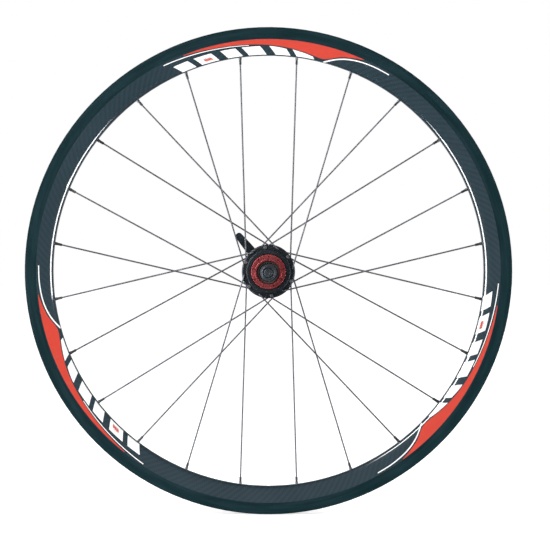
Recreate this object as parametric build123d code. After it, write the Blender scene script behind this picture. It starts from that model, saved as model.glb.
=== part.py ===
from build123d import *
from math import acos, asin, atan, atan2, cos, degrees, hypot, radians, sin, sqrt
import os

# A 700C road racing rear wheel with its quick-release skewer: a hollow deep-section
# rim for a glued tyre, 24 crossed spokes, a hub with a ratchet freehub on cartridge
# bearings, and a cam-lever skewer through the axle.
# Millimetres. The origin is the wheel centre, +Y runs along the axle to the side away
# from the chain, +Z is up. Outlines of turned pieces give (radius, y, corner rounding).

os.makedirs("parts", exist_ok=True)

# rim
rim_diameter = 634.0  # over the lips
rim_depth = 36.5  # lip to nose
rim_width = 20.4  # across the brake tracks
lip_rounding = 0.8
track_height = 14.9  # lip to the lower edge of the brake track
tyre_bed_radius = 11.5  # hollow that a 23 mm tubular tyre lies in
tyre_bed_drop = 4.3  # lip to the middle of the bed
tyre_bed_wall = 1.6
side_wall = 1.5
nose_radius = 7.0
spoke_bed_wall = 2.6
access_hole_radius = 4.25  # in the tyre bed, to pass a nipple
valve_hole_radius = 3.25
valve_angle = 270.0

# spokes and nipples
spokes_per_side = 12
first_spoke_angle = 7.5
lacing_turn = 60.0  # from the flange hole round to the rim hole, two crossings
spoke_radius = 1.0
spoke_bend_radius = 2.0
spoke_head_radius = 2.2
spoke_head_height = 1.3
outer_elbow_gap = 0.6  # the elbow over the chamfered flange edge
inner_elbow_gap = 0.15
spoke_hole_radius = 1.35
nipple_length = 14.0
nipple_radius = 2.0
nipple_flats = 3.3
nipple_flats_length = 6.2
nipple_head_radius = 3.1
nipple_head_height = 2.6
nipple_slot_width = 0.9
nipple_slot_depth = 0.8
nipple_hole_gap = 0.1
nipple_seat_gap = 0.3
nipple_thread_gap = 0.03
spoke_end_in_head = 1.0

# hub shell
over_locknut = 130.0  # between the faces that the frame clamps
flange_radius = 34.6
flange_thickness = 3.2
flange_edge_chamfer = 1.0
hole_circle_radius = 31.4
drive_flange_y = -18.0
far_flange_y = 36.5
mouth_radius = 28.4
mouth_y = -26.2
mouth_bore_radius = 23.0
shell_waist_radius = 13.5
shell_bore_radius = 11.0
far_boss_radius = 20.0
far_boss_y = 44.4
dust_cover_radius = 16.0
dust_cover_thickness = 1.2

# cartridge bearings, 15 x 28 x 7
bearing_bore_radius = 7.5
bearing_outer_radius = 14.0
bearing_width = 7.0
ball_count = 11
ball_radius = 2.2
ball_gap = 0.15
inner_ring_outer_radius = 9.3
outer_ring_inner_radius = 12.3
cage_half_thickness = 0.75
cage_half_width = 2.6
seal_gap = 0.1
seal_thickness = 0.4
seal_inset = 0.2

drive_hub_bearing_y = -6.5  # bearing middles
far_hub_bearing_y = 39.5
inner_free_bearing_y = -30.5
outer_free_bearing_y = -49.5

# freehub and ratchet
barrel_radius = 17.3
barrel_length = 35.0
shoulder_y = -28.0  # the face the largest sprocket rests on
shoulder_radius = 22.3
shoulder_thickness = 3.2
spline_count = 9
spline_width = 3.4
narrow_spline_width = 2.4
spline_depth = 1.1
shoulder_pocket_radius = 1.25
shoulder_pocket_circle = 19.6
shoulder_pocket_depth = 1.3
lockring_bore_radius = 15.25
lockring_bore_depth = 8.0
nose_end_y = -13.0
nose_outer_radius = 16.6
nose_bore_radius = 9.6
seal_lip_gap = 0.08
free_seal_thickness = 2.2
circlip_thickness = 1.2
circlip_depth = 0.85
circlip_width = 1.9
circlip_opening = 50.0
ratchet_teeth = 24
ratchet_outer_radius = 21.0
ratchet_length = 10.0
ratchet_tip_radius = 17.2
ratchet_root_radius = 18.6
ratchet_wall_angle = 1.5
pawl_count = 3
pawl_pivot_circle = 14.2
pawl_pivot_radius = 1.7
pawl_pivot_gap = 0.06
pawl_reach_angle = 24.0
pawl_tip_radius = 18.15
pawl_tip_thickness = 2.0
pawl_tip_lead = 0.9
pawl_swing = 12.0
pawl_clearance = 0.35
pawl_length = 8.0
pawl_end_gap = 0.3
pawl_spring_radius = 16.0
pawl_spring_wire = 0.35
pawl_spring_groove = 0.65

# axle
axle_radius = bearing_bore_radius
axle_shoulder_radius = 9.0
cap_end_wall = 4.0  # of each end cap, around the axle's stub
axle_stub_radius = 5.0
axle_cap_seat_radius = 5.4
axle_stub_length = 5.0  # beyond the clamped faces
spacer_radius = 9.0
cap_neck_radius = 9.2
cap_face_radius = 9.5
cap_collar_radius = 12.0
cap_collar_width = 2.0
cap_neck_past_cover = 1.6

# quick-release skewer
dropout_thickness = 6.0
rod_radius = 2.5
rod_clearance = 0.35  # inside the axle, the saddle and the cup
nut_radius = 10.5
nut_end_radius = 8.4
nut_length = 11.0
nut_band = 5.0
nut_groove_inner = 5.4
nut_groove_outer = 7.0
nut_groove_depth = 1.6
nut_thread_gap = 0.05
rod_end_inset = 1.6
rod_dimple_radius = 1.3
rod_dimple_depth = 1.5
spring_recess_radius = 7.6
spring_recess_depth = 3.0
spring_wire = 0.4
spring_small_radius = 3.6
spring_large_radius = 6.8
spring_turns = 2.5
spring_end_gap = 0.1
clamp_cup_radius = 9.0
clamp_cup_length = 5.0
saddle_radius = 8.5
saddle_thickness = 3.0
cam_throw = 2.5
cam_closed_radius = 8.0
cam_swing = 170.0
cam_gap = 0.1
cam_steps = 8
dowel_radius = 3.5
dowel_length = 14.6
dowel_gap = 0.05
lever_angle = 131.5
lever_length = 64.8
lever_hub_half = 7.5
lever_slot_half = 3.0
lever_thickness = 4.4
lever_drop = 4.0  # tip below the pivot, toward the hub

rim_radius = rim_diameter / 2
rim_inner_radius = rim_radius - rim_depth
half_width = rim_width / 2
track_foot_radius = rim_radius - track_height
nose_centre = rim_inner_radius + nose_radius
bed_centre = rim_radius - tyre_bed_drop + tyre_bed_radius
nipple_seat_radius = rim_inner_radius + spoke_bed_wall
clamp_face_y = over_locknut / 2
axle_body_half = clamp_face_y - cap_end_wall
axle_bore_radius = rod_radius + rod_clearance
stub_end_y = clamp_face_y + axle_stub_length
grip_face_y = clamp_face_y + dropout_thickness
recess_floor_y = grip_face_y + spring_recess_depth
saddle_y = grip_face_y + clamp_cup_length + saddle_thickness
dowel_y = saddle_y + cam_gap + cam_closed_radius
cam_open_radius = cam_closed_radius - cam_throw
barrel_end_y = shoulder_y - barrel_length
shoulder_back_y = shoulder_y + shoulder_thickness
half_bearing = bearing_width / 2
ratchet_back_y = drive_hub_bearing_y - half_bearing - 2.0
ratchet_front_y = ratchet_back_y - ratchet_length
pawl_middle_y = nose_end_y - pawl_length / 2 - pawl_end_gap - 0.7
ball_circle = (inner_ring_outer_radius + outer_ring_inner_radius) / 2
far_cap_y = far_hub_bearing_y + half_bearing
drive_cap_y = outer_free_bearing_y - half_bearing


def turned(*corners):
    """A piece turned about the axle from its section of (radius, y, rounding) corners."""
    points = [(radius, y) for radius, y, rounding in corners]
    roundings = [rounding for radius, y, rounding in corners]
    return revolve(make_face(FilletPolyline(*points, radius=roundings, close=True)), axis=Axis.Y)


def tube(inner, outer, low_y, high_y):
    return turned((inner, low_y, 0), (outer, low_y, 0), (outer, high_y, 0), (inner, high_y, 0))


def side_on(shape, y):
    """Stand a flat layout up across the axle, its thickness growing from y to the drive side."""
    return Pos(0, y, 0) * Rot(X=90) * shape


def polar(radius, angle):
    return (radius * cos(radians(angle)), radius * sin(radians(angle)))


def around(shape, count, first=0.0):
    """Copies of a shape spaced evenly about the axle."""
    return [Rot(Y=-(first + 360 / count * i)) * shape for i in range(count)]


def tangent_angle(point_x, point_y, radius):
    """Where a line from a point (from a circle's centre) touches the circle, on the far side."""
    return degrees(atan2(point_y, point_x) + acos(radius / hypot(point_x, point_y)))


def rim_half_outline(top_radius, wall, edge):
    """Half of a section: the tyre bed side, the side wall down to the track foot, the nose."""
    half = half_width - wall
    arc_end = degrees(asin(edge / top_radius))
    nose = nose_radius - (spoke_bed_wall if wall else 0)
    foot = (track_foot_radius, half)
    touch = tangent_angle(foot[0] - nose_centre, half, nose)
    touch_point = Vector(nose_centre, 0) + Vector(*polar(nose, touch))
    bed = CenterArc((bed_centre, 0), top_radius, 180, -arc_end)
    flank = Line(foot, touch_point)
    tip = CenterArc((nose_centre, 0), nose, touch, 180 - touch)
    return bed, foot, flank, tip


def rim_face():
    lip_edge = sqrt(tyre_bed_radius**2 - (tyre_bed_radius - tyre_bed_drop) ** 2)
    bed, foot, flank, tip = rim_half_outline(tyre_bed_radius, 0, lip_edge)
    lip = Line(bed @ 1, (rim_radius, half_width - lip_rounding))
    corner = CenterArc((rim_radius - lip_rounding, half_width - lip_rounding), lip_rounding, 0, 90)
    track = Line(corner @ 1, foot)
    half = Curve() + [bed, lip, corner, track, flank, tip]
    return make_face(half + mirror(half, about=Plane.XZ))


def cavity_face():
    bed, foot, flank, tip = rim_half_outline(
        tyre_bed_radius + tyre_bed_wall, side_wall, half_width - side_wall
    )
    wall = Line(bed @ 1, foot)
    half = Curve() + [bed, wall, flank, tip]
    return make_face(half + mirror(half, about=Plane.XZ))


class Spoke:
    """Where one spoke runs: its flange hole, its elbow and its seat in the rim."""

    def __init__(self, angle, lean, flange_y, outward):
        self.outward = outward
        self.elbow_side = outward * lean
        hole_x, hole_z = polar(hole_circle_radius, angle - lacing_turn * lean)
        gap = outer_elbow_gap if lean > 0 else inner_elbow_gap
        face = flange_thickness / 2
        self.head_base = Vector(hole_x, flange_y - self.elbow_side * face, hole_z)
        elbow_y = flange_y + self.elbow_side * (face + gap + spoke_radius)
        self.elbow = Vector(hole_x, elbow_y, hole_z)
        seat_x, seat_z = polar(nipple_seat_radius, angle)
        self.seat = Vector(seat_x, 0, seat_z)
        self.along = (self.seat - self.elbow).normalized()
        self.frame = Plane(origin=self.seat, x_dir=(-seat_z, 0, seat_x), z_dir=self.along)


def spokes_of(side):
    """The spokes of one flange. Side 0 is the drive side, side 1 the far side."""
    pitch = 360 / spokes_per_side
    first = first_spoke_angle + side * pitch / 2
    flange_y = (drive_flange_y, far_flange_y)[side]
    outward = (-1, 1)[side]
    leans = [1 if i % 2 == 0 else -1 for i in range(spokes_per_side)]
    return [Spoke(first + pitch * i, leans[i], flange_y, outward) for i in range(spokes_per_side)]


all_spokes = spokes_of(0) + spokes_of(1)


def rod_along(plane, radius, low, high):
    centred = (Align.CENTER, Align.CENTER, Align.MIN)
    return plane * Pos(0, 0, low) * Cylinder(radius, high - low, align=centred)


def make_rim():
    rim = revolve(rim_face(), axis=Axis.Y) - revolve(cavity_face(), axis=Axis.Y)
    bed_radius = rim_radius - tyre_bed_drop
    holes = []
    for spoke in all_spokes:
        holes.append(rod_along(spoke.frame, nipple_radius + nipple_hole_gap, -2 * spoke_bed_wall, 1))
        holes.append(rod_along(spoke.frame, nipple_head_radius + nipple_seat_gap, 0, nose_radius))
        outward = Plane(origin=(0, 0, 0), z_dir=(spoke.seat.X, 0, spoke.seat.Z))
        holes.append(rod_along(outward, access_hole_radius, bed_radius - 3 * tyre_bed_wall, rim_radius))
    valve_x, valve_z = polar(1, valve_angle)
    valve_line = Plane(origin=(0, 0, 0), z_dir=(valve_x, 0, valve_z))
    holes.append(rod_along(valve_line, valve_hole_radius, rim_inner_radius - 1, rim_radius))
    return rim - holes


def make_nipple(spoke):
    shank = nipple_length - nipple_head_height
    barrel = Cylinder(nipple_radius, shank, align=(Align.CENTER, Align.CENTER, Align.MAX))
    flats = Box(nipple_flats, nipple_flats, shank, align=(Align.CENTER, Align.CENTER, Align.MAX))
    round_length = shank - nipple_flats_length
    round_part = Cylinder(nipple_radius, round_length, align=(Align.CENTER, Align.CENTER, Align.MAX))
    head = Cylinder(nipple_head_radius, nipple_head_height, align=(Align.CENTER, Align.CENTER, Align.MIN))
    head = chamfer(head.edges().group_by(Axis.Z)[-1], 0.8)
    slot = Pos(0, 0, nipple_head_height) * Box(
        2 * nipple_head_radius, nipple_slot_width, 2 * nipple_slot_depth
    )
    bore = Cylinder(spoke_radius + nipple_thread_gap, 3 * nipple_length)
    return spoke.frame * ((barrel & flats) + round_part + head - slot - bore)


def make_spoke(spoke):
    tip = spoke.seat + spoke.along * spoke_end_in_head
    path = FilletPolyline(spoke.head_base, spoke.elbow, tip, radius=spoke_bend_radius)
    start = Plane(origin=spoke.head_base, z_dir=(0, spoke.elbow_side, 0))
    shaft = sweep(start * Circle(spoke_radius), path=path)
    head_plane = Plane(origin=spoke.head_base, z_dir=(0, -spoke.elbow_side, 0))
    head = Cylinder(spoke_head_radius, spoke_head_height, align=(Align.CENTER, Align.CENTER, Align.MIN))
    head = fillet(head.edges().group_by(Axis.Z)[-1], 0.6)
    return shaft + head_plane * head


def make_hub_shell():
    face = flange_thickness / 2
    drive_out = drive_flange_y - face
    drive_in = drive_flange_y + face
    far_in = far_flange_y - face
    far_out = far_flange_y + face
    chamfer_in = 1.6 * flange_edge_chamfer
    drive_seat = drive_hub_bearing_y + half_bearing
    far_seat = far_hub_bearing_y - half_bearing
    cover_floor = far_boss_y - dust_cover_thickness
    shell = turned(
        (mouth_bore_radius, mouth_y, 0.4),
        (mouth_radius, mouth_y, 1.0),
        (mouth_radius, drive_out, 0.5),
        (flange_radius - chamfer_in, drive_out, 0.5),
        (flange_radius, drive_out + flange_edge_chamfer, 0.4),
        (flange_radius, drive_in, 0.5),
        (mouth_radius - 2, drive_in, 2.0),
        (far_boss_radius - 1, drive_hub_bearing_y + 1, 6.0),
        (shell_waist_radius, 8.0, 12.0),
        (shell_waist_radius, far_seat - 12, 8.0),
        (bearing_outer_radius + 3, far_seat - 4, 3.0),
        (mouth_radius - 4, far_in, 1.5),
        (flange_radius, far_in, 0.5),
        (flange_radius, far_out - flange_edge_chamfer, 0.4),
        (flange_radius - chamfer_in, far_out, 0.5),
        (far_boss_radius, far_out, 1.5),
        (far_boss_radius, far_boss_y, 1.0),
        (dust_cover_radius, far_boss_y, 0),
        (dust_cover_radius, cover_floor, 0),
        (bearing_outer_radius, cover_floor, 0),
        (bearing_outer_radius, far_seat, 0),
        (shell_bore_radius, far_seat, 0),
        (shell_bore_radius, drive_seat, 0),
        (bearing_outer_radius, drive_seat, 0),
        (bearing_outer_radius, ratchet_back_y, 0),
        (ratchet_outer_radius, ratchet_back_y, 0),
        (ratchet_outer_radius, ratchet_front_y, 0),
        (mouth_bore_radius, ratchet_front_y, 0),
    )
    drills = []
    for side, flange_y in ((0, drive_flange_y), (1, far_flange_y)):
        first = first_spoke_angle + side * 180 / spokes_per_side
        for i in range(spokes_per_side):
            x, z = polar(hole_circle_radius, first + 360 / spokes_per_side * i)
            drill = Cylinder(spoke_hole_radius, 2 * flange_thickness)
            drills.append(Pos(x, flange_y, z) * Rot(X=90) * drill)
    return shell - drills


def make_dust_cover():
    floor = far_boss_y - dust_cover_thickness
    return tube(cap_neck_radius + 0.6, dust_cover_radius, floor, far_boss_y)


def bearing_inner_ring(y):
    ring = tube(bearing_bore_radius, inner_ring_outer_radius, y - half_bearing, y + half_bearing)
    return ring - Pos(0, y, 0) * Rot(X=90) * Torus(ball_circle, ball_radius + ball_gap)


def bearing_outer_ring(y):
    ring = tube(outer_ring_inner_radius, bearing_outer_radius, y - half_bearing, y + half_bearing)
    return ring - Pos(0, y, 0) * Rot(X=90) * Torus(ball_circle, ball_radius + ball_gap)


def bearing_seals(y):
    inner = inner_ring_outer_radius + seal_gap
    out = half_bearing - seal_inset
    near = tube(inner, outer_ring_inner_radius, y - out, y - out + seal_thickness)
    far = tube(inner, outer_ring_inner_radius, y + out - seal_thickness, y + out)
    return [near, far]


def bearing_balls(y):
    spot = Pos(ball_circle, y, 0)
    return around(spot * Sphere(ball_radius), ball_count)


def bearing_cage(y):
    low = ball_circle - cage_half_thickness
    high = ball_circle + cage_half_thickness
    cage = tube(low, high, y - cage_half_width, y + cage_half_width)
    pocket = Pos(ball_circle, y, 0) * Rot(Y=90) * Cylinder(ball_radius + ball_gap, ball_radius)
    return cage - around(pocket, ball_count)


def make_ratchet_ring():
    step = 360 / ratchet_teeth
    corners = []
    for i in range(ratchet_teeth):
        corners.append(polar(ratchet_root_radius, step * i))
        corners.append(polar(ratchet_tip_radius, step * (i + 1) - ratchet_wall_angle))
    teeth = make_face(Polyline(*corners, close=True))
    return side_on(extrude(Circle(ratchet_outer_radius) - teeth, ratchet_length), ratchet_back_y)


def pawl_angle(i):
    """Where a pawl's pivot stands, with its tip just clear of a tooth wall."""
    return pawl_reach_angle + pawl_tip_lead + 360 / pawl_count * i


def pawl_pivot(i):
    return Vector(*polar(pawl_pivot_circle, pawl_angle(i)))


def pawl_finger(i):
    """The pawl's finger as seen from the drive side, from its pivot to the tooth."""
    pivot = pawl_pivot(i)
    tip_angle = pawl_angle(i) - pawl_reach_angle
    tip = Vector(*polar(pawl_tip_radius, tip_angle))
    toe = Vector(*polar(pawl_tip_radius - pawl_tip_thickness, tip_angle))
    toward = (tip - pivot).normalized()
    across = Vector(-toward.Y, toward.X) * pawl_pivot_radius
    return make_face(Polyline(pivot + across, tip, toe, pivot - across, close=True))


def folded_in(shape, i):
    pivot = pawl_pivot(i)
    return Pos(pivot) * Rot(Z=-pawl_swing) * Pos(-pivot) * shape


def pawl_pocket(i):
    """Room in the freehub's nose for a pawl standing out and folded in."""
    finger = offset(pawl_finger(i), amount=pawl_clearance)
    heel = Pos(pawl_pivot(i)) * Circle(pawl_pivot_radius + pawl_pivot_gap)
    return heel + finger + folded_in(finger, i)


def pawl_spring_cut():
    half = pawl_spring_groove
    inner = pawl_spring_radius - pawl_spring_wire - 0.35
    return tube(inner, ratchet_outer_radius + 2, pawl_middle_y - half, pawl_middle_y + half)


def make_pawl(i):
    """Folded in, as it passes under a tooth. It swings out by pawl_swing to drive."""
    outline = pawl_finger(i) + Pos(pawl_pivot(i)) * Circle(pawl_pivot_radius)
    outline = folded_in(outline, i)
    body = side_on(extrude(outline, pawl_length), pawl_middle_y + pawl_length / 2)
    return body - pawl_spring_cut()


def make_pawl_spring():
    ring = Pos(0, pawl_middle_y, 0) * Rot(X=90) * Torus(pawl_spring_radius, pawl_spring_wire)
    gap = Pos(0, pawl_middle_y, -pawl_spring_radius) * Box(5, 4 * pawl_spring_wire, 4 * pawl_spring_wire)
    return ring - Rot(Y=20) * gap


def make_freehub_body():
    thread_floor = barrel_end_y + lockring_bore_depth
    clip_floor = drive_cap_y - circlip_thickness
    inner_floor = inner_free_bearing_y + half_bearing
    body = turned(
        (nose_bore_radius, nose_end_y, 0.3),
        (nose_outer_radius, nose_end_y, 0.5),
        (nose_outer_radius, shoulder_back_y, 0),
        (shoulder_radius, shoulder_back_y, 0.5),
        (shoulder_radius, shoulder_y, 0.5),
        (barrel_radius, shoulder_y, 0),
        (barrel_radius, barrel_end_y, 0.5),
        (lockring_bore_radius, barrel_end_y, 0.3),
        (lockring_bore_radius, thread_floor, 0),
        (bearing_outer_radius, thread_floor, 0),
        (bearing_outer_radius, clip_floor, 0),
        (bearing_outer_radius + circlip_depth, clip_floor, 0),
        (bearing_outer_radius + circlip_depth, drive_cap_y, 0),
        (bearing_outer_radius, drive_cap_y, 0),
        (bearing_outer_radius, inner_floor, 0),
        (nose_bore_radius, inner_floor, 0),
    )
    cuts = []
    for i in range(spline_count):
        width = narrow_spline_width if i == 0 else spline_width
        middle_y = shoulder_y - barrel_length / 2
        groove = Pos(barrel_radius, middle_y, 0) * Box(2 * spline_depth, barrel_length, width)
        cuts.append(Rot(Y=-(90 + 360 / spline_count * i)) * groove)
    spot = Pos(shoulder_pocket_circle, shoulder_y, 0) * Rot(X=90)
    pocket = spot * Cylinder(shoulder_pocket_radius, 2 * shoulder_pocket_depth)
    cuts += around(pocket, spline_count, 90)
    pocket_length = pawl_length + 2 * pawl_end_gap
    for i in range(pawl_count):
        cuts.append(side_on(extrude(pawl_pocket(i), pocket_length), pawl_middle_y + pocket_length / 2))
    cuts.append(pawl_spring_cut())
    return body - cuts


def make_freehub_seal():
    front = shoulder_back_y
    back = front + free_seal_thickness
    lip = mouth_bore_radius - seal_lip_gap
    return turned(
        (nose_outer_radius, front, 0),
        (shoulder_radius - 1.5, front, 0),
        (lip - 0.3, front + 0.3, 0),
        (lip, front + 0.9, 0),
        (lip - 1.0, front + 1.1, 0),
        (nose_outer_radius + 3, back, 0),
        (nose_outer_radius, back, 0),
    )


def make_circlip():
    outer = bearing_outer_radius + circlip_depth
    ring = tube(outer - circlip_width, outer, drive_cap_y - circlip_thickness, drive_cap_y)
    chord = 2 * outer * sin(radians(circlip_opening / 2))
    opening = Pos(0, drive_cap_y, -outer) * Box(chord, 4 * circlip_thickness, 4 * circlip_width)
    return ring - opening


def make_axle():
    drive_step = drive_hub_bearing_y + half_bearing
    far_step = far_hub_bearing_y - half_bearing
    return turned(
        (axle_bore_radius, -stub_end_y, 0.2),
        (axle_stub_radius, -stub_end_y, 0.4),
        (axle_stub_radius, -clamp_face_y, 0),
        (axle_cap_seat_radius, -clamp_face_y, 0),
        (axle_cap_seat_radius, -axle_body_half, 0),
        (axle_radius, -axle_body_half, 0.5),
        (axle_radius, drive_step, 0),
        (axle_shoulder_radius, drive_step, 0),
        (axle_shoulder_radius, far_step, 0),
        (axle_radius, far_step, 0),
        (axle_radius, axle_body_half, 0.5),
        (axle_cap_seat_radius, axle_body_half, 0),
        (axle_cap_seat_radius, clamp_face_y, 0),
        (axle_stub_radius, clamp_face_y, 0),
        (axle_stub_radius, stub_end_y, 0.4),
        (axle_bore_radius, stub_end_y, 0.2),
    )


def make_drive_end_cap():
    neck_y = barrel_end_y + lockring_bore_depth - 2
    return turned(
        (axle_radius, drive_cap_y, 0),
        (cap_neck_radius, drive_cap_y, 0),
        (cap_neck_radius, neck_y, 0),
        (cap_face_radius, neck_y - 1, 0),
        (cap_face_radius, -clamp_face_y, 0.4),
        (axle_cap_seat_radius, -clamp_face_y, 0),
        (axle_cap_seat_radius, -axle_body_half, 0),
        (axle_radius, -axle_body_half, 0),
    )


def make_far_end_cap():
    collar_y = far_boss_y + cap_neck_past_cover
    return turned(
        (axle_radius, far_cap_y, 0),
        (cap_neck_radius, far_cap_y, 0),
        (cap_neck_radius, collar_y, 0),
        (cap_collar_radius, collar_y, 0.5),
        (cap_collar_radius, collar_y + cap_collar_width, 0.5),
        (cap_face_radius, collar_y + cap_collar_width + 2, 1.0),
        (cap_face_radius, clamp_face_y, 0.4),
        (axle_cap_seat_radius, clamp_face_y, 0),
        (axle_cap_seat_radius, axle_body_half, 0),
        (axle_radius, axle_body_half, 0),
    )


def make_hub_spacer():
    low = inner_free_bearing_y + half_bearing
    return tube(axle_radius, spacer_radius, low, drive_hub_bearing_y - half_bearing)


def make_freehub_spacer():
    low = outer_free_bearing_y + half_bearing
    return tube(axle_radius, spacer_radius, low, inner_free_bearing_y - half_bearing)


def in_lever_line(shape):
    """Turn a piece laid out along +X about the axle to the lever's closed direction."""
    return Rot(Y=-lever_angle) * shape


def make_skewer_rod():
    low = -(grip_face_y + nut_length - rod_end_inset)
    rod = turned((0, low, 0), (rod_radius, low, 0.3), (rod_radius, dowel_y, 0), (0, dowel_y, 0))
    dimple = Pos(0, low, 0) * Rot(X=90) * Cylinder(rod_dimple_radius, 2 * rod_dimple_depth)
    return rod - dimple


def make_cam_dowel():
    dowel = Pos(0, dowel_y, 0) * Cylinder(dowel_radius, dowel_length)
    dowel = chamfer(dowel.edges().filter_by(GeomType.CIRCLE), 0.4)
    hole = Rot(X=90) * Cylinder(rod_radius, 2 * dowel_y)
    front_half = (Align.CENTER, Align.MIN, Align.CENTER)
    blind = Box(4 * dowel_radius, 2 * dowel_radius, dowel_length, align=front_half)
    blind = Pos(0, dowel_y, 0) * blind
    return in_lever_line(dowel - (hole - blind))


def cam_point(turn):
    """The cam touches a flat saddle at a depth that falls evenly with the lever's turn."""
    depth = cam_closed_radius - cam_throw * turn / cam_swing
    slope = cam_throw / radians(cam_swing)
    facing = radians(-90 - turn)
    out = Vector(cos(facing), sin(facing))
    side = Vector(-sin(facing), cos(facing))
    return out * depth + side * slope


def lever_side_face():
    """Side view of the closed lever about its pivot: the cam behind, the arm ahead."""
    steps = [cam_point(cam_swing * i / cam_steps) for i in range(cam_steps + 1)]
    cam = Spline(*steps)
    thick = lever_thickness
    root = 13.0
    tip_y = -lever_drop
    middle = 0.55 * lever_length
    top_corner = (lever_length, tip_y + 1.6)
    under_corner = (lever_length, tip_y - 1.6)
    top = Spline(steps[-1], (root, cam_open_radius - 1.2), (middle, 1.2), top_corner)
    under = Spline(under_corner, (middle, 1.2 - thick), (root, -3.2), steps[0])
    end = Line(top @ 1, under @ 0)
    return make_face(Curve() + [cam, top, end, under])


def lever_plan_face():
    """The closed lever seen along the axle."""
    hub = lever_hub_half
    return make_face(
        FilletPolyline(
            (-2 * cam_closed_radius, -hub),
            (7, -hub),
            (18, -5.2),
            (44, -5.4),
            (lever_length, -4.6),
            (lever_length, 4.2),
            (40, 6.6),
            (18, 6.0),
            (7, hub),
            (-2 * cam_closed_radius, hub),
            radius=[0, 3, 6, 20, 4.2, 3.9, 20, 6, 3, 0],
            close=True,
        )
    )


def make_lever():
    side = Pos(0, 0, -10) * extrude(lever_side_face(), 20)
    plan = Pos(0, 20, 0) * Rot(X=90) * extrude(lever_plan_face(), 40)
    lever = side & plan
    slot = Box(40, 40, 2 * lever_slot_half, align=(Align.MAX, Align.CENTER, Align.CENTER))
    slot = Pos(lever_slot_half, 0, 0) * slot
    hole = Cylinder(dowel_radius + dowel_gap, 40)
    return in_lever_line(Pos(0, dowel_y, 0) * (lever - slot - hole))


def make_cam_saddle():
    low = grip_face_y + clamp_cup_length
    return turned(
        (axle_bore_radius, low, 0),
        (saddle_radius, low, 0),
        (saddle_radius, saddle_y, 0.5),
        (axle_bore_radius, saddle_y, 0.3),
    )


def make_clamp_cup():
    return turned(
        (spring_recess_radius, grip_face_y, 0),
        (clamp_cup_radius, grip_face_y, 0.3),
        (clamp_cup_radius, grip_face_y + clamp_cup_length, 0.8),
        (axle_bore_radius, grip_face_y + clamp_cup_length, 0),
        (axle_bore_radius, recess_floor_y, 0),
        (spring_recess_radius, recess_floor_y, 0),
    )


def make_skewer_nut():
    end = -(grip_face_y + nut_length)
    bore = rod_radius + nut_thread_gap
    return turned(
        (spring_recess_radius, -grip_face_y, 0),
        (nut_radius, -grip_face_y, 0.4),
        (nut_radius, -grip_face_y - nut_band, 0.8),
        (nut_end_radius, end, 1.2),
        (nut_groove_outer, end, 0.3),
        (nut_groove_outer, end + nut_groove_depth, 0),
        (nut_groove_inner, end + nut_groove_depth, 0),
        (nut_groove_inner, end, 0.6),
        (bore, end, 0.2),
        (bore, -recess_floor_y, 0),
        (spring_recess_radius, -recess_floor_y, 0),
    )


def make_skewer_spring():
    """Conical spring on the far side, small end to the axle, standing in the cup."""
    start = stub_end_y + spring_end_gap + spring_wire
    height = recess_floor_y - spring_wire - 0.05 - start
    flare = degrees(atan((spring_large_radius - spring_small_radius) / height))
    coil = Helix(
        pitch=height / spring_turns,
        height=height,
        radius=spring_small_radius,
        cone_angle=flare,
    )
    wire = sweep(Plane(origin=coil @ 0, z_dir=coil % 0) * Circle(spring_wire), path=coil, is_frenet=True)
    return Pos(0, start, 0) * Rot(X=-90) * wire


def save(name, shape):
    export_step(shape, f"parts/{name}.step")
    print(name)


def group(pieces):
    return Compound(children=[solid for piece in pieces for solid in piece.solids()])


def save_wheel():
    save("rim", make_rim())
    save("hub_shell", make_hub_shell())
    save("dust_cover", make_dust_cover())
    save("ratchet_ring", make_ratchet_ring())
    for side, name in ((0, "drive"), (1, "far")):
        spokes = spokes_of(side)
        save(f"nipples_{name}", group([make_nipple(spoke) for spoke in spokes]))
        for number, spoke in enumerate(spokes, 1):
            save(f"spoke_{name}_{number:02d}", make_spoke(spoke))


def save_bearings(name, places):
    save(f"{name}_inner_rings", group([bearing_inner_ring(y) for y in places]))
    save(f"{name}_outer_rings", group([bearing_outer_ring(y) for y in places]))
    save(f"{name}_seals", group([seal for y in places for seal in bearing_seals(y)]))
    save(f"{name}_balls", group([ball for y in places for ball in bearing_balls(y)]))
    save(f"{name}_cages", group([bearing_cage(y) for y in places]))


def save_freehub():
    save("freehub_body", make_freehub_body())
    save("freehub_seal", make_freehub_seal())
    save("freehub_circlip", make_circlip())
    save("pawl_spring", make_pawl_spring())
    for i in range(pawl_count):
        save(f"pawl_{i + 1}", make_pawl(i))


def save_axle():
    save("axle", make_axle())
    save("end_cap_drive", make_drive_end_cap())
    save("end_cap_far", make_far_end_cap())
    save("hub_spacer", make_hub_spacer())
    save("freehub_spacer", make_freehub_spacer())


def save_skewer():
    spring = make_skewer_spring()
    save("skewer_rod", make_skewer_rod())
    save("cam_dowel", make_cam_dowel())
    save("cam_lever", make_lever())
    save("cam_saddle", make_cam_saddle())
    save("clamp_cup", make_clamp_cup())
    save("skewer_nut", make_skewer_nut())
    save("skewer_spring_far", spring)
    save("skewer_spring_drive", mirror(spring, about=Plane.XZ))


save_axle()
save_skewer()
save_bearings("hub_bearing", (drive_hub_bearing_y, far_hub_bearing_y))
save_bearings("freehub_bearing", (inner_free_bearing_y, outer_free_bearing_y))
save_freehub()
save_wheel()
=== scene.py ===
from math import acos, atan2, cos, hypot, pi, radians, sin, sqrt

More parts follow.
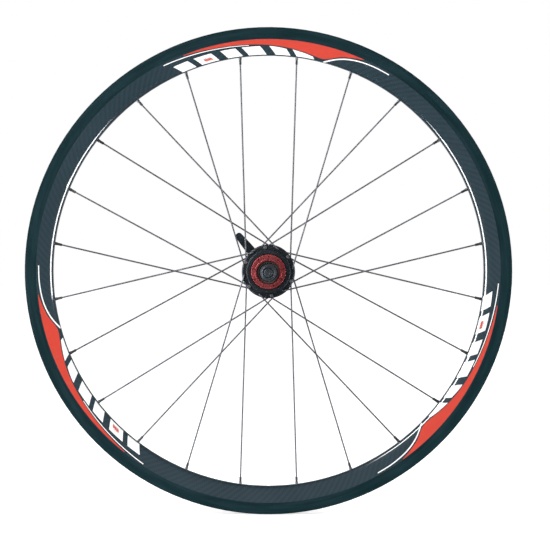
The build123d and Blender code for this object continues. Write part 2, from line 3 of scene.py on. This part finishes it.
import bmesh
import bpy
from mathutils import Euler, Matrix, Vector


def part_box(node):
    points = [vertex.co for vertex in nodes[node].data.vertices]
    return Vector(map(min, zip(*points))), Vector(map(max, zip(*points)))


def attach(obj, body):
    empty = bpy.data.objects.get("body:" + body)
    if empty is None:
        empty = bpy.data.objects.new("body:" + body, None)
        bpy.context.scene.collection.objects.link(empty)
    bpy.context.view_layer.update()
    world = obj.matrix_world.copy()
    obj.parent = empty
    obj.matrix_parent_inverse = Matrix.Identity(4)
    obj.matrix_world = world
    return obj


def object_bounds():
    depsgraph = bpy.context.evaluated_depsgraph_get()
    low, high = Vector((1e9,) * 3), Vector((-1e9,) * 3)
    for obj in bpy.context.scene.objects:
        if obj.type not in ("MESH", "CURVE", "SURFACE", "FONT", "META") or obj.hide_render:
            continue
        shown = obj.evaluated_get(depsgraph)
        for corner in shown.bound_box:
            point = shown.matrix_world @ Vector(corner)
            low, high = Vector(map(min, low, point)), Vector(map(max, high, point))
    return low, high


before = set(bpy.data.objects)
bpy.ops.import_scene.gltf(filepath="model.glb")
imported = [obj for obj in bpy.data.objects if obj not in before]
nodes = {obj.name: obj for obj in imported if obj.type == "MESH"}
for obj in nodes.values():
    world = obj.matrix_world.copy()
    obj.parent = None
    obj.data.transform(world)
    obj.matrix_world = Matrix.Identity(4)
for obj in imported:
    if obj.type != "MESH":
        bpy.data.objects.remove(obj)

# A carbon road wheel seen from the sprocket side. The axle runs along Y, the wheel
# centre is the origin, and everything below is in metres.

scene = bpy.context.scene
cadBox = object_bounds()
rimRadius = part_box("rim")[1].x
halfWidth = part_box("rim")[1].y
print("frame loaded, rim radius", round(rimRadius, 4))


# small helpers for node trees

# one output of a node tree; sums written on it add Math nodes
class Wire:
    def __init__(self, graph, socket):
        self.graph, self.socket = graph, socket

    def __add__(self, other):
        return self.graph.maths("ADD", self, other)

    __radd__ = __add__

    def __sub__(self, other):
        return self.graph.maths("SUBTRACT", self, other)

    def __rsub__(self, other):
        return self.graph.maths("SUBTRACT", other, self)

    def __mul__(self, other):
        return self.graph.maths("MULTIPLY", self, other)

    __rmul__ = __mul__

    def __truediv__(self, other):
        return self.graph.maths("DIVIDE", self, other)

    def __pow__(self, other):
        return self.graph.maths("POWER", self, other)

    def __mod__(self, other):
        return self.graph.maths("FLOORED_MODULO", self, other)

    def __lt__(self, other):
        return self.graph.maths("LESS_THAN", self, other)

    def __abs__(self):
        return self.graph.maths("ABSOLUTE", self)


# a node tree that is filled from Python
class Graph:
    def __init__(self, tree):
        self.tree = tree
        tree.nodes.clear()

    def node(self, kind, settings={}, values={}, out=0):
        made = self.tree.nodes.new(kind)
        for key, value in settings.items():
            setattr(made, key, value)
        for key, value in values.items():
            socket = made.inputs[key]
            if isinstance(value, Wire):
                self.tree.links.new(value.socket, socket)
            else:
                socket.default_value = value
        return Wire(self, made.outputs[out]) if len(made.outputs) else None

    def maths(self, operation, *values):
        return self.node("ShaderNodeMath", {"operation": operation}, dict(enumerate(values)))

    def place(self):
        return self.node("ShaderNodeTexCoord", out="Object")

    def parts(self, vector):
        split = self.node("ShaderNodeSeparateXYZ", {}, {0: vector}).socket.node
        return [Wire(self, split.outputs[i]) for i in range(3)]

    def vector(self, x, y, z):
        return self.node("ShaderNodeCombineXYZ", {}, {0: x, 1: y, 2: z})

    # distance from the axle, place along it, and angle round it, of each point
    def polar(self):
        x, y, z = self.parts(self.place())
        return (x * x + z * z) ** 0.5, y, self.maths("ARCTAN2", z, x)

    def noise(self, vector, scale, detail=2.0, rough=0.5):
        return self.node("ShaderNodeTexNoise", {},
                         {"Vector": vector, "Scale": scale, "Detail": detail, "Roughness": rough})

    # 0 below low, 1 above high, smooth between; the other way round if low is above high
    def ease(self, value, low, high):
        return self.node("ShaderNodeMapRange", {"interpolation_type": "SMOOTHSTEP"},
                         {"Value": value, "From Min": low, "From Max": high})

    def mix(self, factor, first, second):
        return self.node("ShaderNodeMix", {"data_type": "RGBA"}, {0: factor, 6: first, 7: second}, out=2)

    # near 1 on outside edges, 0 on flat faces
    def edges(self, radius):
        rounded = self.node("ShaderNodeBevel", {"samples": 4}, {"Radius": radius})
        flat = self.node("ShaderNodeNewGeometry", out="Normal")
        dot = self.node("ShaderNodeVectorMath", {"operation": "DOT_PRODUCT"},
                        {0: rounded, 1: flat}, out="Value")
        return self.ease(dot, 0.995, 0.86)


# an eight-bit screen colour as the linear one that a shader needs
def tint(red, green, blue):
    def linear(value):
        value /= 255
        return value / 12.92 if value <= 0.04045 else ((value + 0.055) / 1.055) ** 2.4
    return (linear(red), linear(green), linear(blue), 1.0)


def newPaint(name):
    material = bpy.data.materials.new(name)
    material.use_nodes = True
    return material, Graph(material.node_tree)


# closes a material: surface is what the shader's sockets get, height is its relief
def finishPaint(graph, surface, height=None, depth=0.0):
    values = dict(surface)
    if height is not None:
        values["Normal"] = graph.node("ShaderNodeBump", {}, {"Distance": depth, "Height": height})
    shader = graph.node("ShaderNodeBsdfPrincipled", {}, values)
    graph.node("ShaderNodeOutputMaterial", {}, {"Surface": shader})


# rim: a matte brake track over a lacquered flank, raw inside the tyre bed

rimShape = {
    "depth": 0.0365,
    "trackHeight": 0.0149,
    "noseRadius": 0.007,
    "bedRadius": 0.311,  # the unpainted tyre bed starts here
    "middle": 0.293,  # half way up the flank
}
innerRadius = rimRadius - rimShape["depth"]
trackFoot = rimRadius - rimShape["trackHeight"]
noseCentre = innerRadius + rimShape["noseRadius"]

carbonLook = {
    "trackDark": tint(8, 33, 37),
    "trackPale": tint(25, 47, 53),
    "trackRough": 0.6,
    "flankWarp": tint(24, 44, 52),
    "flankWeft": tint(34, 52, 61),
    "flankRough": 0.4,
    "bed": tint(48, 50, 52),
    "towWidth": 0.0021,  # one bundle of fibres in the twill
    "striations": 2600.0,  # fine lines round the track, per metre of radius
    "dustBands": 160.0,  # broader bands of pad dust, likewise
    "noseRoll": 0.9,  # millimetres that the lacquer falls away beside the nose
}


def carbonPaint():
    look = carbonLook
    material, graph = newPaint("rimCarbon")
    radius, y, angle = graph.polar()
    place = graph.place()
    side = abs(y)

    # where each finish lies
    track = graph.ease(radius, trackFoot - 0.0002, trackFoot + 0.0002)
    bed = graph.ease(side, halfWidth - 0.0006, halfWidth - 0.0010)
    bed = bed * graph.ease(radius, rimShape["bedRadius"] - 0.0005, rimShape["bedRadius"] + 0.0005)

    # twill, its bundles as wide round the rim as across it half way up the flank
    warp = angle * (rimShape["middle"] / look["towWidth"])
    weft = radius / look["towWidth"]
    steps = graph.maths("FLOOR", warp) + graph.maths("FLOOR", weft)
    over = (steps % 4.0) < 1.5
    alongWarp = graph.maths("SINE", (warp % 1.0) * pi)
    alongWeft = graph.maths("SINE", (weft % 1.0) * pi)
    tow = over * alongWarp + (1 - over) * alongWeft
    cloudy = graph.noise(place, 14.0, 3.0)
    speckle = graph.noise(place, 900.0, 2.0)

    # the track: striations round it, pad dust, and chips at the lip
    across, up = graph.maths("COSINE", angle), graph.maths("SINE", angle)
    lines = graph.noise(graph.vector(radius * look["striations"], across * 2.0, up * 2.0), 1.0, 2.0, 0.6)
    smear = graph.noise(graph.vector(radius * look["dustBands"], across * 5.0, up * 5.0), 1.0, 3.0)
    chips = graph.ease(graph.noise(place, 620.0, 3.0), 0.66, 0.70)
    lipEdge = graph.ease(radius, rimRadius - 0.0016, rimRadius - 0.0003)
    trackColour = graph.mix(graph.ease(lines * 0.45 + smear * 0.55, 0.35, 0.68),
                            look["trackDark"], look["trackPale"])
    trackColour = graph.mix(chips * lipEdge * 0.5, trackColour, tint(92, 98, 102))

    flankColour = graph.mix(over * 0.6 + tow * 0.4, look["flankWarp"], look["flankWeft"])
    flankColour = graph.mix(graph.ease(cloudy, 0.4, 0.75) * 0.25, flankColour, tint(44, 60, 72))
    bedColour = graph.mix(graph.ease(speckle, 0.42, 0.62), look["bed"], tint(34, 36, 38))

    colour = graph.mix(track, flankColour, trackColour)
    colour = graph.mix(bed, colour, bedColour)
    trackRough = look["trackRough"] + lines * 0.14
    flankRough = look["flankRough"] + cloudy * 0.08
    rough = track * trackRough + (1 - track) * flankRough
    rough = bed * 0.7 + (1 - bed) * rough
    lacquer = (1 - track) * (1 - bed)
    # the lacquer rolls over softly into the nose
    roll = graph.ease(radius, innerRadius + 0.0025, innerRadius + 0.0105) * look["noseRoll"]
    height = track * lines * 0.036 + lacquer * (graph.noise(place, 210.0, 1.0) * 0.014 + roll)
    finishPaint(graph, {
        "Base Color": colour,
        "Roughness": rough,
        "Coat Weight": lacquer,
        "Coat Roughness": 0.07,
        "Coat IOR": 1.5,
        "Specular IOR Level": 0.02,
    }, height, 0.001)
    return material


# metal, rubber and nylon

# fine lines left by a lathe, round the axle
def turnedGrain(graph, fine=2600.0):
    radius, y, angle = graph.polar()
    return graph.noise(graph.vector(radius * fine, y * fine, angle * 0.8), 1.0, 2.0, 0.6)


# dyed and sealed aluminium: a satin skin that goes pale along its edges, partly from wear and partly as a
# painted highlight
def anodisedPaint(name, look):
    material, graph = newPaint(name)
    place = graph.place()
    grain = turnedGrain(graph)
    cloudy = graph.noise(place, 70.0, 3.0)
    dust = graph.ease(graph.noise(place, 1500.0, 2.0), 0.60, 0.72)
    colour = graph.mix(graph.ease(grain * 0.5 + cloudy * 0.5, 0.36, 0.66), look["dark"], look["pale"])
    colour = graph.mix(dust * 0.16, colour, tint(150, 150, 148))
    scuffed = graph.ease(graph.noise(place, 420.0, 4.0, 0.7), 0.40, 0.62)
    # edges shift towards the bare tone: partly wear, partly a painted highlight in place of light caught
    # on rounded edges
    wornAndHighlitEdges = graph.edges(look.get("edgeWidth", 0.0003)) * (0.35 + scuffed * 0.65)
    colour = graph.mix(wornAndHighlitEdges * look["edgeWearAndHighlight"], colour, look["bare"])
    finishPaint(graph, {
        "Base Color": colour,
        "Roughness": look["rough"] + cloudy * 0.10 + grain * 0.06,
        "Metallic": look["metallic"],
        "Specular IOR Level": look.get("specular", 0.5),
    }, grain, 0.000008)
    return material


# bare steel, ground or drawn, with faint oil bloom
def steelPaint(name, look):
    material, graph = newPaint(name)
    place = graph.place()
    radius, y, angle = graph.polar()
    if look.get("drawn"):  # lines run out from the hub along each spoke
        grain = graph.noise(graph.vector(angle * 900.0, y * 2400.0, radius * 30.0), 1.0, 2.0)
    else:
        grain = turnedGrain(graph)
    bloom = graph.noise(place, 120.0, 3.0)
    colour = graph.mix(graph.ease(grain * 0.6 + bloom * 0.4, 0.34, 0.68), look["dark"], look["pale"])
    finishPaint(graph, {
        "Base Color": colour,
        "Roughness": look["rough"] + bloom * 0.12,
        "Metallic": look.get("metallic", 1.0),
        "Specular IOR Level": look.get("specular", 0.5),
    }, grain, 0.000010)
    return material


# rubber or nylon: a fine moulded skin with a patchy dusting
def mouldedPaint(name, look):
    material, graph = newPaint(name)
    place = graph.place()
    skin = graph.noise(place, 1900.0, 3.0, 0.6)
    cloudy = graph.noise(place, 90.0, 2.0)
    colour = graph.mix(graph.ease(cloudy, 0.35, 0.7), look["dark"], look["pale"])
    finishPaint(graph, {
        "Base Color": colour,
        "Roughness": look["rough"] + skin * 0.15,
    }, skin, look["relief"])
    return material


anodisedLooks = {
    "hub_black": {"dark": tint(6, 14, 20), "pale": tint(16, 26, 34), "bare": tint(96, 106, 116),
                  "rough": 0.42, "metallic": 0.0, "edgeWearAndHighlight": 0.25, "specular": 0.1},
    "lever_black": {"dark": tint(8, 18, 26), "pale": tint(22, 34, 44), "bare": tint(96, 106, 116),
                    "rough": 0.36, "metallic": 0.0, "edgeWearAndHighlight": 0.25, "specular": 0.12},
    "freehub_red": {"dark": tint(92, 28, 32), "pale": tint(132, 46, 49), "bare": tint(184, 116, 116),
                    "rough": 0.4, "metallic": 0.3, "edgeWearAndHighlight": 0.45, "specular": 0.2},
    "axle_alloy": {"dark": tint(36, 38, 41), "pale": tint(52, 55, 58), "bare": tint(150, 152, 154),
                   "rough": 0.34, "metallic": 0.6, "edgeWearAndHighlight": 0.4},
    "cap_alloy": {"dark": tint(20, 24, 30), "pale": tint(34, 39, 46), "bare": tint(120, 124, 128),
                  "rough": 0.42, "metallic": 0.1, "edgeWearAndHighlight": 0.35, "specular": 0.1},
    "nut_grey": {"dark": tint(24, 29, 35), "pale": tint(44, 51, 58), "bare": tint(92, 101, 108),
                 "rough": 0.42, "metallic": 0.2, "edgeWearAndHighlight": 0.3, "specular": 0.12},
    "nipple_dark": {"dark": tint(38, 40, 43), "pale": tint(56, 58, 61), "bare": tint(150, 152, 154),
                    "rough": 0.32, "metallic": 0.7, "edgeWearAndHighlight": 0.4},
}
steelLooks = {
    "spoke_steel": {"dark": tint(58, 59, 64), "pale": tint(92, 93, 99), "rough": 0.5, "drawn": True,
                    "metallic": 0.15, "specular": 0.1},
    "ratchet_steel": {"dark": tint(82, 80, 76), "pale": tint(120, 117, 111), "rough": 0.34},
    "bearing_steel": {"dark": tint(96, 97, 98), "pale": tint(128, 129, 130), "rough": 0.26},
    # the bearing steel is given a dark grey and the spring steel a darker one; the bearing's outer ring
    # and the circlip deep in the freehub mouth come out dark
    "ball_steel": {"dark": tint(188, 189, 190), "pale": tint(206, 207, 208), "rough": 0.06},
    "rod_steel": {"dark": tint(82, 86, 92), "pale": tint(112, 117, 124), "rough": 0.30},
    "spring_steel": {"dark": tint(52, 52, 54), "pale": tint(80, 80, 82), "rough": 0.34},
}
mouldedLooks = {
    "rubber_seal": {"dark": tint(20, 20, 21), "pale": tint(34, 34, 35),
                   "rough": 0.55, "relief": 0.00003},
    "cage_plastic": {"dark": tint(60, 48, 36), "pale": tint(84, 68, 52),
                    "rough": 0.42, "relief": 0.00002},
    "saddle_plastic": {"dark": tint(22, 22, 23), "pale": tint(36, 37, 38),
                      "rough": 0.46, "relief": 0.00003},
}

paints = {"carbon": carbonPaint()}
for name, look in anodisedLooks.items():
    paints[name] = anodisedPaint(name + "_anodised", look)
for name, look in steelLooks.items():
    paints[name] = steelPaint(name + "_bare", look)
for name, look in mouldedLooks.items():
    paints[name] = mouldedPaint(name + "_moulded", look)

for piece in nodes.values():
    for holder in piece.material_slots:
        holder.material = paints[holder.material.name.split(".")[0]]
print("finishes on", len(nodes), "carried-over parts")


# helpers for pieces that are added to the frame

# turns a worked-on object into one plain mesh that rides on its body
def keepMesh(piece, name, body):
    bpy.context.view_layer.update()
    settled = piece.evaluated_get(bpy.context.evaluated_depsgraph_get())
    mesh = bpy.data.meshes.new_from_object(settled)
    bpy.data.objects.remove(piece)
    finished = bpy.data.objects.new(name, mesh)
    scene.collection.objects.link(finished)
    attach(finished, body)


def looseObject(name, mesh):
    made = bpy.data.objects.new(name, mesh)
    scene.collection.objects.link(made)
    return made


# a geometry tree with its inputs, each given as name, socket kind and default
def treeWithInputs(name, inputs):
    tree = bpy.data.node_groups.new(name, "GeometryNodeTree")
    tree.interface.new_socket("Geometry", in_out="INPUT", socket_type="NodeSocketGeometry")
    for title, kind, default in inputs:
        socket = tree.interface.new_socket(title, in_out="INPUT", socket_type=kind)
        if default is not None:
            socket.default_value = default
    tree.interface.new_socket("Geometry", in_out="OUTPUT", socket_type="NodeSocketGeometry")
    graph = Graph(tree)
    entry = tree.nodes.new("NodeGroupInput")
    given = {socket.name: Wire(graph, socket) for socket in entry.outputs if socket.name}
    return tree, graph, given


# puts a geometry tree on an object, with its named inputs set
def addTree(piece, tree, **values):
    modifier = piece.modifiers.new(tree.name, "NODES")
    modifier.node_group = tree
    names = {socket.name: socket.identifier for socket in tree.interface.items_tree
             if socket.in_out == "INPUT"}
    for title, value in values.items():
        modifier[names[title]] = value


# copies of one shape, evenly spaced about the axle
def makeSpreadTree():
    tree, graph, given = treeWithInputs("spreadAboutAxle", [
        ("Count", "NodeSocketInt", 3),
        ("Paint", "NodeSocketMaterial", None),
    ])
    spots = graph.node("GeometryNodePoints", {}, {"Count": given["Count"]})
    turn = graph.node("GeometryNodeInputIndex") * (2 * pi) / given["Count"]
    spun = graph.node("GeometryNodeInstanceOnPoints", {}, {
        "Points": spots,
        "Instance": given["Geometry"],
        "Rotation": graph.vector(0.0, -1 * turn, 0.0),
    })
    real = graph.node("GeometryNodeRealizeInstances", {}, {"Geometry": spun})
    painted = graph.node("GeometryNodeSetMaterial", {}, {"Geometry": real, "Material": given["Paint"]})
    graph.node("NodeGroupOutput", {}, {"Geometry": painted})
    return tree


spreadTree = makeSpreadTree()


# graphics on the flank: swoosh, blade, pinstripe and a row of slanted bars; along each
# line go degrees round from the start, then millimetres above the rim's inner edge

graphicLook = {
    "repeats": 3,
    "start": 59.0,  # degrees round from the right, seen from the sprocket side
    "film": 0.00012,
    "white": tint(250, 250, 250),
    "red": tint(198, 60, 44),
}
swooshLine = [(-0.5, 18.5), (4.0, 17.8), (8.75, 15.1), (12.5, 9.8), (16.3, 0.6)]
pinstripeLine = [(36.0, 13.8), (43.7, 15.5), (50.0, 17.0), (58.0, 19.0)]
bladeLow = [(6.6, 20.4), (9.0, 17.6), (12.5, 12.6), (15.0, 6.5), (16.8, 4.2), (19.4, 5.8),
            (22.5, 8.6), (28.75, 12.6), (36.0, 15.0), (43.7, 17.0), (52.5, 20.0)]
bladeTop = 20.8
barSpan = (19.6, 57.4)
barCount = 6
barHeights = (1.4, 12.0)
barSlant = 0.16  # degrees leaned per millimetre of height
barMiddle = 6.0
markSpot = (45.4, 3.4)  # a small red mark on the third bar, and its size
markSize = (2.2, 5.0)


# printed film under lacquer, with a few scuffs
def graphicPaint(name, colour):
    material, graph = newPaint(name)
    place = graph.place()
    mottle = graph.noise(place, 240.0, 3.0)
    scuff = graph.ease(graph.noise(place, 60.0, 4.0, 0.7), 0.62, 0.72)
    shade = graph.mix(scuff * 0.10 + mottle * 0.05, colour, tint(120, 120, 122))
    finishPaint(graph, {
        "Base Color": shade,
        "Roughness": 0.30 + mottle * 0.12,
        "Coat Weight": 0.35,
        "Coat Roughness": 0.12,
        "Specular IOR Level": 0.1,
    }, mottle, 0.00001)
    return material


# height of a smooth line at t, through its points
def alongLine(line, t):
    for i in range(len(line) - 1):
        if t <= line[i + 1][0] or i == len(line) - 2:
            break
    before, after = line[max(i - 1, 0)], line[min(i + 2, len(line) - 1)]
    (x0, y0), (x1, y1) = line[i], line[i + 1]
    width = x1 - x0
    s = (t - x0) / width
    slope0 = (y1 - before[1]) / (x1 - before[0]) * width
    slope1 = (after[1] - y0) / (after[0] - x0) * width
    return ((2 * s**3 - 3 * s**2 + 1) * y0 + (s**3 - 2 * s**2 + s) * slope0
            + (3 * s**2 - 2 * s**3) * y1 + (s**3 - s**2) * slope1)


# a point of the rim's side at t degrees and height millimetres above its inner edge
def onFlank(t, height, lift):
    radius = innerRadius + max(height, 0.05) / 1000
    touchAngle = atan2(halfWidth, trackFoot - noseCentre)  # of the flank's two ends
    reach = hypot(trackFoot - noseCentre, halfWidth)
    touchAngle += acos(rimShape["noseRadius"] / reach)
    touchRadius = noseCentre + rimShape["noseRadius"] * cos(touchAngle)
    touchSide = rimShape["noseRadius"] * sin(touchAngle)
    if radius >= touchRadius:
        share = (radius - touchRadius) / (trackFoot - touchRadius)
        side = touchSide + (halfWidth - touchSide) * share
        out = (cos(touchAngle), sin(touchAngle))
    else:
        side = sqrt(rimShape["noseRadius"] ** 2 - (noseCentre - radius) ** 2)
        out = ((radius - noseCentre) / rimShape["noseRadius"], side / rimShape["noseRadius"])
    radius += out[0] * lift
    side += out[1] * lift
    turn = radians(graphicLook["start"] + t)
    return Vector((radius * cos(turn), -side, radius * sin(turn)))


# a closed film whose (u, v) corners spot() maps to degrees and height on the flank
def addPatch(mesh, spot, columns, rows):
    sheets = []
    for lift in (-graphicLook["film"] / 2, graphicLook["film"]):
        sheets.append([[mesh.verts.new(onFlank(*spot(i / columns, j / rows), lift))
                        for j in range(rows + 1)] for i in range(columns + 1)])
    low, top = sheets
    for i in range(columns):
        for j in range(rows):
            mesh.faces.new((top[i][j], top[i + 1][j], top[i + 1][j + 1], top[i][j + 1]))
            mesh.faces.new((low[i][j], low[i][j + 1], low[i + 1][j + 1], low[i + 1][j]))
    for i in range(columns):
        mesh.faces.new((low[i][0], low[i + 1][0], top[i + 1][0], top[i][0]))
        mesh.faces.new((top[i][rows], top[i + 1][rows], low[i + 1][rows], low[i][rows]))
    for j in range(rows):
        mesh.faces.new((low[0][j + 1], low[0][j], top[0][j], top[0][j + 1]))
        mesh.faces.new((low[columns][j], low[columns][j + 1], top[columns][j + 1], top[columns][j]))


# a stripe along a line, its width running from the first to the second value
def addRibbon(mesh, line, widths, columns):
    low, high = line[0][0], line[-1][0]

    def spot(u, v):
        t = low + (high - low) * u
        step = 0.05
        rise = alongLine(line, t + step) - alongLine(line, t - step)
        run = radians(2 * step) * noseCentre * 1000  # both in millimetres
        length = hypot(rise, run)
        offset = (widths[0] + (widths[1] - widths[0]) * u) * (v - 0.5)
        shift = -offset * rise / length / (radians(1) * noseCentre * 1000)
        return t + shift, alongLine(line, t) + offset * run / length

    addPatch(mesh, spot, columns, 2)


def bladeSpot(u, v):
    low, high = bladeLow[0][0] + 0.1, bladeLow[-1][0] - 0.05
    t = low + (high - low) * u
    bottom = alongLine(bladeLow, t)
    return t, bottom + (max(bladeTop, bottom + 0.2) - bottom) * v


def barSpot(i):
    pitch = (barSpan[1] - barSpan[0]) / barCount
    width = pitch * (0.62 if i % 2 else 0.74)

    def spot(u, v):
        height = barHeights[0] + (barHeights[1] - barHeights[0]) * v
        roof = alongLine(bladeLow, barSpan[0] + pitch * (i + u)) - 1.7
        height = min(height, barHeights[0] + (roof - barHeights[0]) * v)
        return barSpan[0] + pitch * i + width * u + barSlant * (height - barMiddle), height

    return spot


# fills one repeat for both sides, then spreads it round the rim
def makeGraphics(name, paint, fill):
    mesh = bmesh.new()
    fill(mesh)
    again = bmesh.ops.duplicate(mesh, geom=mesh.verts[:] + mesh.edges[:] + mesh.faces[:])
    turned = [item for item in again["geom"] if isinstance(item, bmesh.types.BMVert)]
    bmesh.ops.rotate(mesh, verts=turned, matrix=Euler((0, 0, pi)).to_matrix())
    bmesh.ops.recalc_face_normals(mesh, faces=mesh.faces[:])
    made = bpy.data.meshes.new(name)
    mesh.to_mesh(made)
    mesh.free()
    made.shade_smooth()
    made.set_sharp_from_angle(angle=radians(40))
    piece = looseObject(name + "Source", made)
    addTree(piece, spreadTree, Count=graphicLook["repeats"], Paint=paint)
    keepMesh(piece, name, "wheel")


def fillWhite(mesh):
    addRibbon(mesh, swooshLine, (1.2, 1.7), 40)
    addRibbon(mesh, pinstripeLine, (0.7, 1.1), 30)
    for i in range(barCount):
        addPatch(mesh, barSpot(i), 10, 8)


def fillRed(mesh):
    addPatch(mesh, bladeSpot, 90, 4)
    addPatch(mesh, lambda u, v: (markSpot[0] + markSize[0] * u + barSlant * (v * 5),
                                 markSpot[1] + markSize[1] * v), 6, 5)


makeGraphics("graphicsWhite", graphicPaint("filmWhite", graphicLook["white"]), fillWhite)
makeGraphics("graphicsRed", graphicPaint("filmRed", graphicLook["red"]), fillRed)
print("graphics on the rim")


# skewer nut: fine ridges round its grip band

nutGrip = {
    "ridges": 54,
    "height": 0.00035,
    "length": 0.0042,
    "sink": 0.0001,
    "inset": 0.0026,  # of a ridge's middle from the nut's inner end
    "share": 0.7,  # of the pitch that a ridge takes up
}


# one rounded ridge, lying along the axle at the radius
def makeRidge(name, radius, y, height, length, width):
    mesh = bmesh.new()
    rings = []
    for at, share in ((-0.5, 0.1), (-0.42, 1.0), (0.42, 1.0), (0.5, 0.1)):
        ring = []
        for side, rise in ((-0.5, -0.3), (-0.3, 0.75), (0.0, 1.0), (0.3, 0.75), (0.5, -0.3)):
            ring.append(mesh.verts.new((radius + rise * height * share, y + at * length,
                                        side * width * (0.4 + 0.6 * share))))
        rings.append(ring)
    for near, far in zip(rings, rings[1:]):
        for i in range(5):
            mesh.faces.new((near[i], near[(i + 1) % 5], far[(i + 1) % 5], far[i]))
    mesh.faces.new(rings[0])
    mesh.faces.new(rings[-1])
    bmesh.ops.recalc_face_normals(mesh, faces=mesh.faces[:])
    made = bpy.data.meshes.new(name)
    mesh.to_mesh(made)
    mesh.free()
    return made


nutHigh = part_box("skewer_nut")[1]
ridgePitch = 2 * pi * nutHigh.x / nutGrip["ridges"]
ridge = looseObject("nutRidgeSource", makeRidge(
    "nutRidge", nutHigh.x - nutGrip["sink"], nutHigh.y - nutGrip["inset"], nutGrip["height"],
    nutGrip["length"], ridgePitch * nutGrip["share"]))
addTree(ridge, spreadTree, Count=nutGrip["ridges"], Paint=paints["nut_grey"])
keepMesh(ridge, "nutRidges", "nut")
print("nut ridges")


# stage, light and camera

studio = {
    "floorDrop": 0.0004,
    "front": 0.44,  # how bright the room is behind the camera
    "slope": 0.35,  # and how much brighter towards its ceiling
    "behind": 0.85,
    "ceiling": 0.40,
    "ground": 0.40,
    "floorGlow": 0.63,
    "cameraPlace": (0.004, -2.5, 0.062),
    "lens": 125.4,
    "sensor": 36.0,
    "shift": (0.0119, -0.0068),
}
# place, aim, size, power, and whether it only shows in reflections
lamps = {
    "keyBox": ((-0.9, -2.6, 1.6), (0, 0, 0), (1.6, 1.2), 46, False),
    "leftStrip": ((-2.3, -1.1, 0.5), (0, 0, 0.3), (2.0, 5.2), 1150, True),
    "rightStrip": ((2.3, -1.1, -0.8), (0, 0, -0.4), (2.0, 2.0), 430, True),
}


def floorPaint():
    material, graph = newPaint("paleFloor")
    place = graph.place()
    drift = graph.noise(place, 1.2, 2.0)
    colour = graph.mix(drift * 0.5, tint(250, 250, 250), tint(246, 246, 246))
    finishPaint(graph, {"Base Color": colour, "Roughness": 0.75 + drift * 0.1,
                        "Emission Color": (1.0, 1.0, 1.0, 1.0), "Emission Strength": studio["floorGlow"]})
    return material


def makeFloor():
    mesh = bmesh.new()
    bmesh.ops.create_grid(mesh, x_segments=8, y_segments=8, size=9.0)
    bmesh.ops.translate(mesh, verts=mesh.verts[:], vec=(0, 0, cadBox[0].z - studio["floorDrop"]))
    made = bpy.data.meshes.new("floor")
    mesh.to_mesh(made)
    mesh.free()
    made.materials.append(floorPaint())
    floor = looseObject("floor", made)
    floor.visible_glossy = False  # polished parts mirror the room, not the floor


# a lamp that only lights, or only shows in reflections
def softbox(name, place, aim, size, power, shine):
    lamp = bpy.data.lights.new(name, "AREA")
    lamp.shape = "RECTANGLE"
    lamp.size, lamp.size_y = size
    lamp.energy = power
    stand = bpy.data.objects.new(name, lamp)
    stand.location = place
    stand.rotation_euler = (Vector(aim) - Vector(place)).to_track_quat("-Z", "Y").to_euler()
    stand.visible_glossy = shine
    stand.visible_diffuse = not shine
    scene.collection.objects.link(stand)


# white behind the wheel, dimmer above and behind the camera
def lightWorld():
    world = bpy.data.worlds.new("studio")
    world.use_nodes = True
    scene.world = world
    graph = Graph(world.node_tree)
    y, z = graph.parts(graph.node("ShaderNodeTexCoord", out="Generated"))[1:]
    back = graph.ease(y, -0.6, 0.4)
    front = studio["front"] + z * studio["slope"]
    level = front + back * (studio["behind"] - front)
    up = graph.ease(z, 0.25, 0.85)
    level = level + up * (studio["ceiling"] - level)
    down = graph.ease(z, -0.25, -0.85)
    level = level + down * (studio["ground"] - level)
    seen = graph.node("ShaderNodeLightPath", out="Is Camera Ray")
    sky = graph.node("ShaderNodeBackground", {}, {
        "Color": (1.0, 1.0, 1.0, 1.0), "Strength": seen + (1 - seen) * level})
    graph.node("ShaderNodeOutputWorld", {}, {"Surface": sky})


makeFloor()
lightWorld()
for name, setting in lamps.items():
    softbox(name, *setting)

camera = bpy.data.cameras.new("camera")
camera.lens = studio["lens"]
camera.sensor_width = studio["sensor"]
camera.shift_x, camera.shift_y = studio["shift"]
stand = bpy.data.objects.new("camera", camera)
stand.location = studio["cameraPlace"]
stand.rotation_euler = (-stand.location).to_track_quat("-Z", "Y").to_euler()
scene.collection.objects.link(stand)
scene.camera = stand
scene.view_settings.view_transform = "Standard"

print("scene ready")
